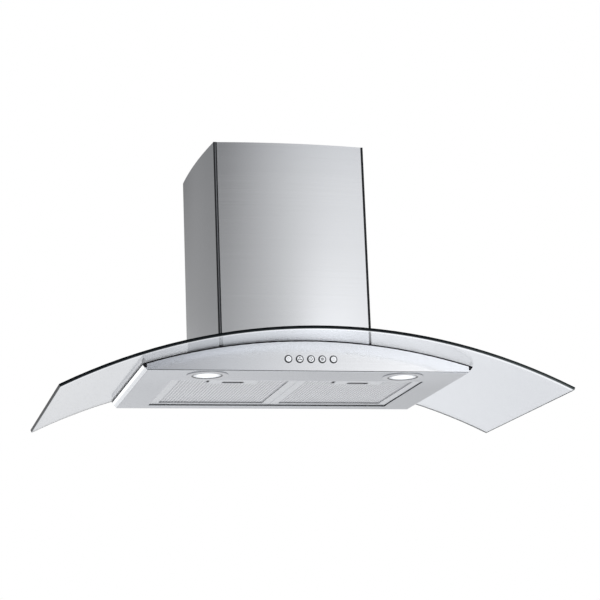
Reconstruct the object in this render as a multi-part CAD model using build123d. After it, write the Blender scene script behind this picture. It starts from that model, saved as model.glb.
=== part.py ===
from build123d import *
import math
import os

# Wall-mounted range hood with a curved glass canopy, in millimetres.
# Drawn with z = 0 on the flat underside, the wall on y = 0 and the front towards -y,
# then lowered by Z_FIX so that the origin is the centre of the four wall-fixing holes.

# ---------------------------------------------------------------- driving dimensions
Z_FIX = 150.0          # height of the wall-fixing pattern above the underside
FIX_DX, FIX_DZ, FIX_R = 170.0, 80.0, 4.0

GLASS_W = 900.0        # nominal width of the canopy
GLASS_T = 6.0
GLASS_R = 1016.7       # radius of the glass underside, axis along y
GLASS_APEX = 56.0      # height of the glass underside at x = 0
GLASS_FRONT, GLASS_REAR = -469.0, -1.0
NOTCH_X, NOTCH_Y = 112.0, -245.0

SEAL_T = 2.2           # rubber strip between the body and the glass
PLUG_X, PLUG_Z, PLUG_D = 288.9, 5.2, 5.0   # rubber corner pieces that close the front corners of the sheet
SHEET = 1.0            # stainless sheet
PLATE = 1.2            # structural sheet

BODY_FRONT = -374.5    # outer face of the fascia
BODY_BOT, BODY_TOP, BODY_TOP_Z = 287.5, 296.25, 10.9   # half-widths of the sloping sides
BEND_R = 2.6

FILT_X, FILT_Y0, FILT_Y1 = 231.5, -289.3, -27.7        # filter opening in the underside
FILT_Z0, FILT_Z1 = 2.3, 11.3
FILT_GAP = 1.2
FILT_RIM = 15.0
FILT_AXIS_Y, FILT_AXIS_Z = -31.0, 5.0
LATCH_TRAVEL = 3.0
SLOT_W, SLOT_D = 40.0, 14.5           # finger slot of the latch
MESH_DEEP = 2.2        # mesh set back from the filter's face

LAMP_X, LAMP_Y, LAMP_R, LAMP_RING = 177.2, -335.4, 25.2, 37.0

BTN_Z, BTN_PITCH, BTN_R, BTN_RING = 22.2, 20.25, 5.6, 7.05
BTN_PROUD, BTN_TRAVEL = 1.6, 2.0

CH_TOP = 446.6         # top of the lower chimney
CH_X, CH_Y, CH_BOW = 141.1, -269.0, -277.6             # front corners and bowed front
CH_SIDE_X, CH_SIDE_Y, CH_REAR_X = 150.2, -130.0, 149.5 # bowed sides
GROOVE_W, GROOVE_D = 3.0, 8.0
TRIM_IN = {"left": 135.2, "right": 138.3}   # inner edge of the dark corner trim's face
FASCIA_GAP = 1.8       # the fascia ends this far above the underside, over the front lip of the pan

UP_BOT, UP_TOP = 98.8, 444.0
UP_X, UP_Y, UP_BOW = 133.5, -264.0, -273.0
UP_SIDE_X, UP_SIDE_Y, UP_REAR_X = 146.4, -130.0, 145.6
UP_TRAVEL = 300.0
BRK_Y, BRK_Z = -130.0, 86.0    # screws of the bridge brackets between case and side panels

CASE_X, CASE_Y, CASE_TOP = 128.0, -259.0, 300.0
FAN_Y, FAN_Z, FAN_R, FAN_RIN, FAN_HALF = -150.0, 166.0, 76.0, 62.0, 56.0
SCROLL_HALF = 62.0
SCROLL_R0, SCROLL_R1 = 84.0, 106.0
DUCT_Y, DUCT_R, DUCT_WALL, DUCT_TOP = -105.0, 75.0, 1.5, 350.0
PIN_Z, PIN_R = 312.0, 2.0
GLAND_X, GLAND_Y = -24.0, -233.0

ZC = GLASS_APEX - GLASS_R


# ---------------------------------------------------------------- helpers
def box(x0, x1, y0, y1, z0, z1):
    return Pos((x0 + x1) / 2, (y0 + y1) / 2, (z0 + z1) / 2) * Box(x1 - x0, y1 - y0, z1 - z0)


def cyl_x(r, x0, x1, y, z):
    return Pos((x0 + x1) / 2, y, z) * Rot(0, 90, 0) * Cylinder(r, x1 - x0)


def cyl_y(r, y0, y1, x, z):
    return Pos(x, (y0 + y1) / 2, z) * Rot(90, 0, 0) * Cylinder(r, y1 - y0)


def cyl_z(r, z0, z1, x, y):
    return Pos(x, y, (z0 + z1) / 2) * Cylinder(r, z1 - z0)


def drum(r, y0=-600.0, y1=100.0):
    """Cylinder on the canopy's own axis, used to cut or fill arched edges."""
    return cyl_y(r, y0, y1, 0, ZC)


def arched(r0, r1, x0, x1, y0, y1):
    """Arched sheet between two radii of the canopy's axis."""
    return (drum(r1, y0, y1) - drum(r0, y0 - 1, y1 + 1)) & box(x0, x1, y0, y1, -200, 200)


def radial(r, h0, h1, x_at, y):
    """Cylinder standing on the arch along its own radius."""
    phi = math.degrees(math.asin(x_at / (GLASS_R + 3)))
    return Pos(0, y, ZC) * Rot(0, phi, 0) * Pos(0, 0, (h0 + h1) / 2) * Cylinder(r, h1 - h0)


def rounded_slab(x0, x1, y0, y1, z0, z1, r):
    return Pos((x0 + x1) / 2, (y0 + y1) / 2, z0) * extrude(
        RectangleRounded(x1 - x0, y1 - y0, r), z1 - z0)


def face_xz(wire, y):
    """Face from a closed list of edges drawn as (x, z), standing at a given y."""
    return Plane(origin=(0, y, 0), x_dir=(1, 0, 0), z_dir=(0, -1, 0)) * wire


def one(shape):
    """The single solid of a result, or a compound of its solids."""
    s = shape.solids()
    return s[0] if len(s) == 1 else Compound(children=list(s))


def group(items):
    out = []
    for i in items:
        out.extend(i.solids())
    return Compound(children=out)


NODES = {}


def node(name, shape):
    NODES[name] = shape


SIDES = (("left", -1), ("right", 1))
SCREWS = [(sx * 121.0, y) for sx in (-1, 1) for y in (-40.0, -215.0)]


# ---------------------------------------------------------------- glass canopy
phi = math.asin(GLASS_W / 2 / (GLASS_R + GLASS_T))


def polar(r, a):
    return (r * math.sin(a), ZC + r * math.cos(a))


ri, ro = GLASS_R, GLASS_R + GLASS_T
outline = [
    ThreePointArc(polar(ro, -phi), polar(ro, 0), polar(ro, phi)),
    Line(polar(ro, phi), polar(ri, phi)),
    ThreePointArc(polar(ri, phi), polar(ri, 0), polar(ri, -phi)),
    Line(polar(ri, -phi), polar(ro, -phi)),
]
glass = extrude(face_xz(make_face(outline), GLASS_FRONT), GLASS_REAR - GLASS_FRONT, dir=(0, 1, 0))
short = [e for e in glass.edges() if abs(e.length - GLASS_T) < 0.1]
glass = fillet(short, 1.6)
rim_edges = [e for e in glass.edges() if abs(e.length - GLASS_T) > 0.5]
glass = chamfer(rim_edges, 0.6)
glass -= rounded_slab(-NOTCH_X, NOTCH_X, NOTCH_Y, 60, -50, 120, 12)
for x, y in SCREWS:
    glass -= radial(5.0, GLASS_R - 4, GLASS_R + 12, x, y)
node("glass_canopy", glass)

# rubber strips that carry the glass
rs = GLASS_R - SEAL_T
inner = arched(rs, GLASS_R, -130, 130, -263, -1.3)
inner -= rounded_slab(-NOTCH_X, NOTCH_X, NOTCH_Y, 60, -50, 120, 12)
for x, y in SCREWS:
    inner -= radial(2.3, GLASS_R - 6, GLASS_R + 6, x, y)
node("glass_seal_inner", inner)
node("glass_bushings", group(
    radial(4.9, GLASS_R + 0.05, ro - 0.05, x, y) - radial(2.2, GLASS_R - 2, ro + 2, x, y)
    for x, y in SCREWS))

# ---------------------------------------------------------------- canopy body
slope = (BODY_TOP - BODY_BOT) / BODY_TOP_Z
th = math.atan(slope)


def body_outline(inset, z_top):
    """Closed section of the body: flat bottom, rounded bends, sides leaning outwards."""
    zb = inset
    xb = BODY_BOT + slope * zb - inset / math.cos(th)
    xt = BODY_BOT + slope * z_top - inset / math.cos(th)
    face = make_face(Polyline((-xt, z_top), (-xb, zb), (xb, zb), (xt, z_top), close=True))
    corners = [v for v in face.vertices() if abs(v.Y - zb) < 0.01]
    return fillet(corners, BEND_R - inset)


def body_prism(inset, y0, y1, z_top=70.0):
    return extrude(face_xz(body_outline(inset, z_top), y0), y1 - y0, dir=(0, 1, 0))


# outer seal, with a piece at each front corner that fills the relief in the folded sheet
seal = arched(rs, GLASS_R, -295.9, 295.9, BODY_FRONT + 0.1, -1.2)
seal -= box(-281, 281, -358, -18, -100, 100)
seal -= box(-131, 131, -40, 10, -100, 100)
relief = box(PLUG_X, 310, -390, BODY_FRONT + PLUG_D, PLUG_Z, 100) + box(
    -310, -PLUG_X, -390, BODY_FRONT + PLUG_D, PLUG_Z, 100)
for sx in (-1, 1):
    plug = body_prism(0.0, BODY_FRONT + 0.1, BODY_FRONT + PLUG_D - 0.15) & drum(rs + 0.5)
    x0, x1 = sorted((sx * (PLUG_X + 0.15), sx * 310))
    plug &= box(x0, x1, -390, -300, PLUG_Z + 0.15, 100)
    seal += plug
node("glass_seal_outer", one(seal))

# front fascia with five button holes
fascia = body_prism(0.0, BODY_FRONT, BODY_FRONT + PLATE) & drum(rs)
fascia &= box(-400, 400, -400, -300, FASCIA_GAP, 100)
fascia -= relief
front_edges = [e for e in fascia.edges() if abs(e.center().Y - BODY_FRONT) < 0.01]
fascia = fillet(front_edges, 0.5)
for i in range(5):
    fascia -= cyl_y(BTN_RING - 0.5, -380, -370, (i - 2) * BTN_PITCH, BTN_Z)
node("front_fascia", fascia)

# underside panel: one folded sheet with the filter opening and the lamp holes
yi = BODY_FRONT + PLATE
pan = body_prism(0.0, yi, -1.2) - body_prism(SHEET, yi - 5, 5, 90)
pan &= drum(rs)
lip = body_prism(0.0, BODY_FRONT + 0.1, yi + 0.1) & box(-400, 400, -400, -300, -1, SHEET)
pan += lip
pan -= relief
pan -= rounded_slab(-FILT_X, FILT_X, FILT_Y0, FILT_Y1, -5, 6, 1.5)
for sx in (-1, 1):
    pan -= cyl_z(31.0, -5, 8, sx * LAMP_X, LAMP_Y)
node("underside_panel", pan)

# rear panel with a tongue that rises through the notch of the glass to the wall fixings
rear = body_prism(0.0, -1.2, 0.0) & drum(rs)
rear += box(-110, 110, -1.2, 0.0, 30, 225)
for sx in (-1, 1):
    for sz in (-1, 1):
        rear -= cyl_y(FIX_R, -10, 10, sx * FIX_DX / 2, Z_FIX + sz * FIX_DZ / 2)
node("rear_panel", one(rear))

# arched top sheet under the glass
top = arched(rs - SHEET, rs, -293, 293, yi + 0.1, -1.3) - relief
top -= rounded_slab(-110, 110, -243, -13, -50, 120, 8)
for x, y in SCREWS:
    top -= radial(2.3, GLASS_R - 8, GLASS_R + 4, x, y)
node("plenum_top", top)

# partition between the lamps and controls in front and the grease space behind
part_y = -294.0
wall = body_prism(SHEET + 0.15, part_y, part_y + SHEET) & drum(rs - SHEET - 0.1)
wall += (box(-270, 270, part_y - 10, part_y, SHEET, 2 * SHEET)
         - cyl_z(36.5, -5, 8, LAMP_X, LAMP_Y) - cyl_z(36.5, -5, 8, -LAMP_X, LAMP_Y))
node("partition_panel", one(wall))

# ---------------------------------------------------------------- lamps
boards = []
for side, sx in SIDES:
    x, y = sx * LAMP_X, LAMP_Y
    ring = cyl_z(LAMP_RING, -1.5, 0, x, y)
    ring = chamfer(ring.edges().group_by(Axis.Z)[0], 0.9)
    ring += cyl_z(30.8, 0, 14, x, y)
    ring -= cyl_z(29.0, 0, 20, x, y)
    ring -= cyl_z(LAMP_R, -5, 1, x, y)
    node(f"lamp_trim_{side}", ring)
    lens = cyl_z(28.8, 0.0, 2.0, x, y) + cyl_z(LAMP_R - 0.2, -0.9, 0.0, x, y)
    lens = fillet(lens.edges().group_by(Axis.Z)[0], 0.5)
    node(f"lamp_lens_{side}", lens)
    can = cyl_z(28.8, 2.0, 29.0, x, y) - cyl_z(27.6, 1.0, 27.0, x, y)
    for k in range(4):
        can -= cyl_z(40, 17.0 + 3 * k, 18.4 + 3 * k, x, y) - cyl_z(28.1, 10, 40, x, y)
    node(f"lamp_can_{side}", can)
    boards.append(cyl_z(27.4, 8.0, 9.6, x, y))
node("led_boards", group(boards))
driver = rounded_slab(58, 122, -349, -313, SHEET, 21, 3)
driver += rounded_slab(50, 130, -339, -323, SHEET, 3.0, 3)
node("lamp_driver", driver)

# ---------------------------------------------------------------- push buttons
bezels = []
for i in range(5):
    x = (i - 2) * BTN_PITCH
    b = cyl_y(BTN_RING, BODY_FRONT - 0.8, BODY_FRONT, x, BTN_Z)
    b = chamfer(b.edges().group_by(Axis.Y)[0], 0.35)
    b += cyl_y(BTN_RING - 0.6, BODY_FRONT, BODY_FRONT + 2.9, x, BTN_Z)
    b -= cyl_y(BTN_R + 0.2, BODY_FRONT - 5, BODY_FRONT + 8, x, BTN_Z)
    bezels.append(b)
    y0 = BODY_FRONT - BTN_PROUD
    cap = cyl_y(BTN_R, y0, BODY_FRONT + 3.3, x, BTN_Z)
    cap = fillet(cap.edges().group_by(Axis.Y)[0], 0.6)
    cap += cyl_y(BTN_RING - 0.7, BODY_FRONT + 3.3, BODY_FRONT + 4.3, x, BTN_Z)
    cap += cyl_y(2.5, BODY_FRONT + 4.3, BODY_FRONT + 13.0, x, BTN_Z)
    node(f"button_{i + 1}", cap)
node("button_bezels", group(bezels))

sw_y0, sw_y1 = BODY_FRONT + 8.5, BODY_FRONT + 22.5
block = rounded_slab(-52, 52, sw_y0, sw_y1, BTN_Z - 11, BTN_Z + 11, 2)
for i in range(5):
    block -= cyl_y(2.8, sw_y0 - 1, sw_y0 + 8, (i - 2) * BTN_PITCH, BTN_Z)
for x in (-50.0, 50.0):
    block += box(x - 1.8, x + 1.8, yi, sw_y0 + 1, BTN_Z - 8, BTN_Z + 8)
node("switch_block", block)
node("control_board", box(-55, 55, sw_y1, sw_y1 + 1.6, BTN_Z - 12, BTN_Z + 13))

# ---------------------------------------------------------------- blower case
case = box(-CASE_X, CASE_X, CASE_Y, -1.2, 20, CASE_TOP)
case = fillet([e for e in case.edges().filter_by(Axis.Z) if e.center().Y < -100], 4.0)
hollow = box(-CASE_X + PLATE, CASE_X - PLATE, CASE_Y + PLATE, -2.4, 0, CASE_TOP - PLATE)
hollow = fillet([e for e in hollow.edges().filter_by(Axis.Z) if e.center().Y < -100], 2.8)
case -= hollow
flange = arched(ro, ro + PLATE, -127.5, 127.5, CASE_Y + 0.6, -2.0)
flange -= rounded_slab(-NOTCH_X, NOTCH_X, NOTCH_Y, 60, -50, 120, 12)
flange = flange & fillet(
    [e for e in box(-127.5, 127.5, CASE_Y + 0.6, 50, -50, 120).edges().filter_by(Axis.Z)
     if e.center().Y < -100], 3.6)
case -= drum(ro)
case += flange
case -= cyl_z(DUCT_R - DUCT_WALL - 1.5, CASE_TOP - 5, CASE_TOP + 5, 0, DUCT_Y)
for sx in (-1, 1):
    for sz in (-1, 1):
        case -= cyl_y(FIX_R, -10, 5, sx * FIX_DX / 2, Z_FIX + sz * FIX_DZ / 2)
for x, y in SCREWS:
    case -= radial(2.3, GLASS_R, GLASS_R + 14, x, y)
case -= cyl_z(4.3, CASE_TOP - 5, CASE_TOP + 5, 100, -225)
case -= cyl_x(2.05, -140, 140, BRK_Y, BRK_Z)
node("blower_case", one(case))

node("case_screws", group(
    radial(4.0, ro + PLATE, ro + PLATE + 2.6, x, y)
    + radial(2.0, rs - 7, ro + PLATE, x, y)
    + radial(3.7, rs - SHEET - 3.2, rs - SHEET, x, y)
    for x, y in SCREWS))


# ---------------------------------------------------------------- blower
def scroll_face(r0, r1, wall_in, z_top):
    pts = []
    for k in range(0, 28):
        a = math.radians(90 + 10 * k)
        r = r0 + (r1 - r0) * k / 27
        pts.append((FAN_Y + r * math.cos(a), FAN_Z + r * math.sin(a)))
    spiral = Spline(*pts)
    end = pts[-1]
    if wall_in:
        rest = Polyline(end, (end[0], z_top), (FAN_Y - 6.3, z_top),
                        (FAN_Y + 1.6, FAN_Z + SCROLL_R0 - 0.5), pts[0])
    else:
        rest = Polyline(end, (end[0], z_top), (FAN_Y - 8.0, z_top), pts[0])
    return make_face([spiral, *rest.edges()])


def in_yz(face, x):
    return Plane(origin=(x, 0, 0), x_dir=(0, 1, 0), z_dir=(1, 0, 0)) * face


z_scroll = CASE_TOP - PLATE
scroll = extrude(in_yz(scroll_face(SCROLL_R0, SCROLL_R1, False, z_scroll), -SCROLL_HALF),
                 2 * SCROLL_HALF, dir=(1, 0, 0))
scroll -= extrude(in_yz(scroll_face(SCROLL_R0 - 1.5, SCROLL_R1 - 1.5, True, z_scroll + 10),
                        -SCROLL_HALF + 1.5), 2 * SCROLL_HALF - 3, dir=(1, 0, 0))
scroll -= cyl_x(60.0, -90, 90, FAN_Y, FAN_Z)
node("scroll_housing", one(scroll))

for side, sx in SIDES:
    a, b = sorted((sx * SCROLL_HALF, sx * (SCROLL_HALF + 2)))
    c, d = sorted((sx * (SCROLL_HALF + 2), sx * 54.0))
    ring = cyl_x(72.0, a, b, FAN_Y, FAN_Z) + cyl_x(60.0, c, d, FAN_Y, FAN_Z)
    ring -= cyl_x(58.5, -90, 90, FAN_Y, FAN_Z)
    node(f"inlet_ring_{side}", ring)

# double-width impeller: two end rings, a hub disc and leaning blades
fan = cyl_x(FAN_R, -FAN_HALF, -FAN_HALF + 2, FAN_Y, FAN_Z) - cyl_x(FAN_RIN, -90, 90, FAN_Y, FAN_Z)
fan += cyl_x(FAN_R, FAN_HALF - 2, FAN_HALF, FAN_Y, FAN_Z) - cyl_x(FAN_RIN, -90, 90, FAN_Y, FAN_Z)
disc = cyl_x(FAN_R - 2, 14, 16, FAN_Y, FAN_Z) + cyl_x(12, 9, 25, FAN_Y, FAN_Z)
blades = []
n_blades = 36
for k in range(n_blades):
    blade = Pos(0, FAN_RIN + 6.5, 0) * Rot(28, 0, 0) * Box(2 * FAN_HALF - 1.0, 12.5, 1.2)
    blades.append(Pos(0, FAN_Y, FAN_Z) * Rot(360.0 / n_blades * k, 0, 0) * blade)
fan = fan + disc + blades
fan -= cyl_x(4.0, -90, 90, FAN_Y, FAN_Z)
node("impeller", one(fan))
shaft = cyl_x(4.0, -72, 27, FAN_Y, FAN_Z)
node("motor_shaft", chamfer(shaft.edges().group_by(Axis.X)[0] + shaft.edges().group_by(Axis.X)[-1], 0.6))

motor = cyl_x(38.0, -64, 6, FAN_Y, FAN_Z)
motor = fillet(motor.edges().group_by(Axis.X)[-1], 5.0)
motor -= cyl_x(6.0, -90, 30, FAN_Y, FAN_Z)
motor -= cyl_x(8.0, -70, -57, FAN_Y, FAN_Z) + cyl_x(8.0, -1, 20, FAN_Y, FAN_Z)
for k in range(4):
    motor -= cyl_x(50, -48 + 10 * k, -45 + 10 * k, FAN_Y, FAN_Z) - cyl_x(36.0, -70, 20, FAN_Y, FAN_Z)
node("motor", motor)
node("motor_bearings", group(
    [cyl_x(8.0, a, b, FAN_Y, FAN_Z) - cyl_x(4.05, -90, 60, FAN_Y, FAN_Z)
     for a, b in ((-64, -57), (-1, 6))]))
spider = cyl_x(30.0, -66, -64, FAN_Y, FAN_Z)
for k in range(3):
    spider += Pos(0, FAN_Y, FAN_Z) * Rot(120 * k + 90, 0, 0) * box(-66, -64, 20, 71, -7, 7)
spider -= cyl_x(9.0, -90, 0, FAN_Y, FAN_Z)
node("motor_bracket", one(spider))

# run capacitor hanging from the case top by its stud
cap_x, cap_y = 100.0, -225.0
body = cyl_z(16.0, CASE_TOP - PLATE - 68, CASE_TOP - PLATE, cap_x, cap_y)
body = fillet(body.edges().group_by(Axis.Z)[0], 2.0)
stud = cyl_z(4.0, CASE_TOP - PLATE, CASE_TOP + 8, cap_x, cap_y)
nut = Pos(cap_x, cap_y, CASE_TOP) * extrude(RegularPolygon(7.0, 6), 4.0)
node("capacitor", body + stud + nut)

# terminal box with its lid and the cable gland
tb = box(-45, 45, -257, -209, CASE_TOP, CASE_TOP + 32)
tb = fillet(tb.edges().filter_by(Axis.Z), 3.0)
tb -= fillet(box(-43, 43, -255, -211, CASE_TOP + 2, CASE_TOP + 40).edges().filter_by(Axis.Z), 1.5)
node("terminal_box", tb)
lid_z = CASE_TOP + 34.5
lid = rounded_slab(-46, 46, -258, -208, CASE_TOP + 32, lid_z, 3.5)
lid -= cyl_z(6.05, lid_z - 10, lid_z + 5, GLAND_X, GLAND_Y)
node("terminal_box_lid", lid)
gland = cyl_z(6.0, lid_z - 5.0, lid_z, GLAND_X, GLAND_Y)
gland += Pos(GLAND_X, GLAND_Y, lid_z) * extrude(RegularPolygon(10.5, 6), 4.5)
dome = cyl_z(8.6, lid_z + 4.5, lid_z + 18.5, GLAND_X, GLAND_Y)
dome = fillet(dome.edges().group_by(Axis.Z)[-1], 2.5)
gland += dome
gland -= cyl_z(4.0, lid_z - 20, lid_z + 40, GLAND_X, GLAND_Y)
node("cable_gland", one(gland))

# ---------------------------------------------------------------- duct collar and damper
collar = cyl_z(84.0, CASE_TOP, CASE_TOP + 1.5, 0, DUCT_Y) + cyl_z(DUCT_R, CASE_TOP, DUCT_TOP, 0, DUCT_Y)
collar -= cyl_z(DUCT_R - DUCT_WALL, CASE_TOP - 2, DUCT_TOP + 2, 0, DUCT_Y)
collar += (cyl_z(DUCT_R - 0.5, PIN_Z - 4.0, PIN_Z - 0.95, 0, DUCT_Y)
           - cyl_z(DUCT_R - DUCT_WALL - 3, PIN_Z - 5, PIN_Z + 1, 0, DUCT_Y))
collar -= cyl_y(PIN_R, DUCT_Y - 100, DUCT_Y + 100, 0, PIN_Z)
node("outlet_collar", one(collar))
pin = cyl_y(PIN_R, DUCT_Y - 74.8, DUCT_Y + 74.8, 0, PIN_Z)
node("damper_pin", pin)
SEG = {"left": ((-60, -42), (22, 40)), "right": ((-40, -22), (42, 60))}
for side, sx in SIDES:
    disc = cyl_z(72.3, PIN_Z - 0.6, PIN_Z + 0.6, 0, DUCT_Y)
    a, b = sorted((sx * 3.9, sx * 90))
    flap = disc & box(a, b, -300, 100, PIN_Z - 5, PIN_Z + 5)
    for y0, y1 in SEG[side]:
        a, b = sorted((sx * 2.2, sx * 8))
        flap += box(a, b, DUCT_Y + y0, DUCT_Y + y1, PIN_Z - 0.6, PIN_Z + 0.6)
        flap += cyl_y(3.4, DUCT_Y + y0, DUCT_Y + y1, 0, PIN_Z)
    flap -= cyl_y(PIN_R + 0.05, DUCT_Y - 100, DUCT_Y + 100, 0, PIN_Z)
    node(f"damper_flap_{side}", one(flap))

# ---------------------------------------------------------------- lower chimney
R_BOW = (CH_X ** 2 + (CH_Y - CH_BOW) ** 2) / (2 * (CH_Y - CH_BOW))


def bow_y(x, inset=0.0):
    r = R_BOW - inset
    return CH_BOW + inset + r - math.sqrt(r * r - x * x)


def chimney_cut(shape, z0=20.0):
    return shape - drum(ro + 0.2)


fx = CH_X - GROOVE_W
y_ret = bow_y(fx) + GROOVE_D
front = make_face([
    Line((-fx, y_ret), (-fx, bow_y(fx))),
    ThreePointArc((-fx, bow_y(fx)), (0, CH_BOW), (fx, bow_y(fx))),
    Line((fx, bow_y(fx)), (fx, y_ret)),
    Line((fx, y_ret), (fx - SHEET, y_ret)),
    Line((fx - SHEET, y_ret), (fx - SHEET, bow_y(fx - SHEET, SHEET))),
    ThreePointArc((fx - SHEET, bow_y(fx - SHEET, SHEET)), (0, CH_BOW + SHEET),
                  (-fx + SHEET, bow_y(fx - SHEET, SHEET))),
    Line((-fx + SHEET, bow_y(fx - SHEET, SHEET)), (-fx + SHEET, y_ret)),
    Line((-fx + SHEET, y_ret), (-fx, y_ret)),
])
outer_corners = [v for v in front.vertices() if abs(abs(v.X) - fx) < 0.01 and v.Y < y_ret - 4]
front = fillet(outer_corners, 0.9)
panel = Pos(0, 0, 20) * extrude(front, CH_TOP - 20)
node("chimney_front", one(chimney_cut(panel)))


def side_face(s, x0, y0, xm, ym, x1, y1, t, flange):
    """Bowed side sheet with a flange folded inwards at the wall."""
    edges = [
        ThreePointArc((s * x0, y0), (s * xm, ym), (s * x1, y1)),
        Line((s * x1, y1), (s * (x1 - flange), y1)),
        Line((s * (x1 - flange), y1), (s * (x1 - flange), y1 - t)),
        Line((s * (x1 - flange), y1 - t), (s * (x1 - t), y1 - t)),
        ThreePointArc((s * (x1 - t), y1 - t), (s * (xm - t), ym), (s * (x0 - t), y0)),
        Line((s * (x0 - t), y0), (s * x0, y0)),
    ]
    return make_face(edges)


brackets, chimney_screws = [], []
for side, sx in SIDES:
    f = side_face(sx, CH_X, CH_Y, CH_SIDE_X, CH_SIDE_Y, CH_REAR_X, -1.0, SHEET, 10.0)
    panel = Pos(0, 0, 20) * extrude(f, CH_TOP - 20)
    panel = chimney_cut(panel)
    panel -= cyl_x(2.2, -160, 160, BRK_Y, BRK_Z)
    node(f"chimney_side_{side}", one(panel))
    # bridge from the blower case to the side panel; its top is the upper chimney's stop
    xs, xc = CH_SIDE_X - SHEET - 0.8, CASE_X
    a, b, c, d = sx * xc, sx * (xc + 1.5), sx * (xs - 1.5), sx * xs
    bridge = box(*sorted((a, d)), BRK_Y - 14, BRK_Y + 14, UP_BOT - 1.9, UP_BOT - 0.4)
    bridge += box(*sorted((a, b)), BRK_Y - 14, BRK_Y + 14, UP_BOT - 24, UP_BOT - 0.4)
    bridge += box(*sorted((c, d)), BRK_Y - 14, BRK_Y + 14, UP_BOT - 24, UP_BOT - 0.4)
    bridge -= cyl_x(2.2, -160, 160, BRK_Y, BRK_Z)
    brackets.append(one(bridge))
    head = cyl_x(3.6, *sorted((sx * (CH_SIDE_X + 0.12), sx * (CH_SIDE_X + 1.6))), BRK_Y, BRK_Z)
    head = fillet(head.edges().filter_by(GeomType.CIRCLE).sort_by(Axis.X)[-1 if sx > 0 else 0], 0.7)
    chimney_screws.append(head + cyl_x(2.0, *sorted((sx * (xs - 6), sx * (CH_SIDE_X + 0.2))), BRK_Y, BRK_Z)
                          + cyl_x(3.5, *sorted((sx * (xs - 4.4), sx * (xs - 1.5))), BRK_Y, BRK_Z))
    chimney_screws.append(cyl_x(3.5, *sorted((sx * (xc + 1.5), sx * (xc + 3.6))), BRK_Y, BRK_Z)
                          + cyl_x(2.0, *sorted((sx * (xc - 5), sx * (xc + 1.6))), BRK_Y, BRK_Z))
    # dark corner strip: a foot held behind the groove, a web through it and a flat face over
    # the edges of both sheets; the wider face on the left carries a fine rib
    xa, xb = fx + 0.05, CH_X - SHEET + 0.3
    a, b = sorted((sx * xa, sx * xb))
    strip = box(a, b, y_ret - 0.6, y_ret + 8.0, 20, CH_TOP)
    a, b = sorted((sx * (xa + 0.15), sx * (xa + 1.45)))
    strip += box(a, b, CH_Y - 0.5, y_ret, 20, CH_TOP)
    y_face = bow_y(TRIM_IN[side]) - 0.83
    a, b = sorted((sx * (fx + 0.2), sx * (CH_X + 0.6)))
    strip += box(a, b, y_face, CH_Y - 0.05, 20, CH_TOP)
    if side == "left":
        a, b = sorted((sx * TRIM_IN[side], sx * (fx + 0.3)))
        strip += box(a, b, y_face, y_face + 0.8, 20, CH_TOP)
        a, b = sorted((sx * 137.6, sx * 139.1))
        strip += box(a, b, y_face - 0.5, y_face + 0.1, 20, CH_TOP)
    node(f"chimney_trim_{side}", one(chimney_cut(strip)))

node("chimney_brackets", group(brackets))
node("chimney_screws", group(chimney_screws))

# ---------------------------------------------------------------- upper chimney
R_UP = (UP_X ** 2 + (UP_Y - UP_BOW) ** 2) / (2 * (UP_Y - UP_BOW))
t = SHEET
f = make_face([
    ThreePointArc((-UP_X, UP_Y), (0, UP_BOW), (UP_X, UP_Y)),
    ThreePointArc((UP_X, UP_Y), (UP_SIDE_X, UP_SIDE_Y), (UP_REAR_X, -3.6)),
    Line((UP_REAR_X, -3.6), (131, -3.6)),
    Line((131, -3.6), (131, -3.6 - t)),
    Line((131, -3.6 - t), (UP_REAR_X - t, -3.6 - t)),
    ThreePointArc((UP_REAR_X - t, -3.6 - t), (UP_SIDE_X - t, UP_SIDE_Y), (UP_X - t, UP_Y + t)),
    ThreePointArc((UP_X - t, UP_Y + t), (0, UP_BOW + t), (-UP_X + t, UP_Y + t)),
    ThreePointArc((-UP_X + t, UP_Y + t), (-UP_SIDE_X + t, UP_SIDE_Y), (-UP_REAR_X + t, -3.6 - t)),
    Line((-UP_REAR_X + t, -3.6 - t), (-131, -3.6 - t)),
    Line((-131, -3.6 - t), (-131, -3.6)),
    Line((-131, -3.6), (-UP_REAR_X, -3.6)),
    ThreePointArc((-UP_REAR_X, -3.6), (-UP_SIDE_X, UP_SIDE_Y), (-UP_X, UP_Y)),
])
upper = Pos(0, 0, UP_BOT) * extrude(f, UP_TOP - UP_BOT)
node("upper_chimney", upper)
strip = box(-137.5, 137.5, -3.6, -2.1, UP_TOP - 42, UP_TOP - 8)
for x in (-60.0, 60.0):
    strip -= cyl_y(3.0, -10, 5, x, UP_TOP - 25)
node("upper_bracket", strip)

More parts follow.
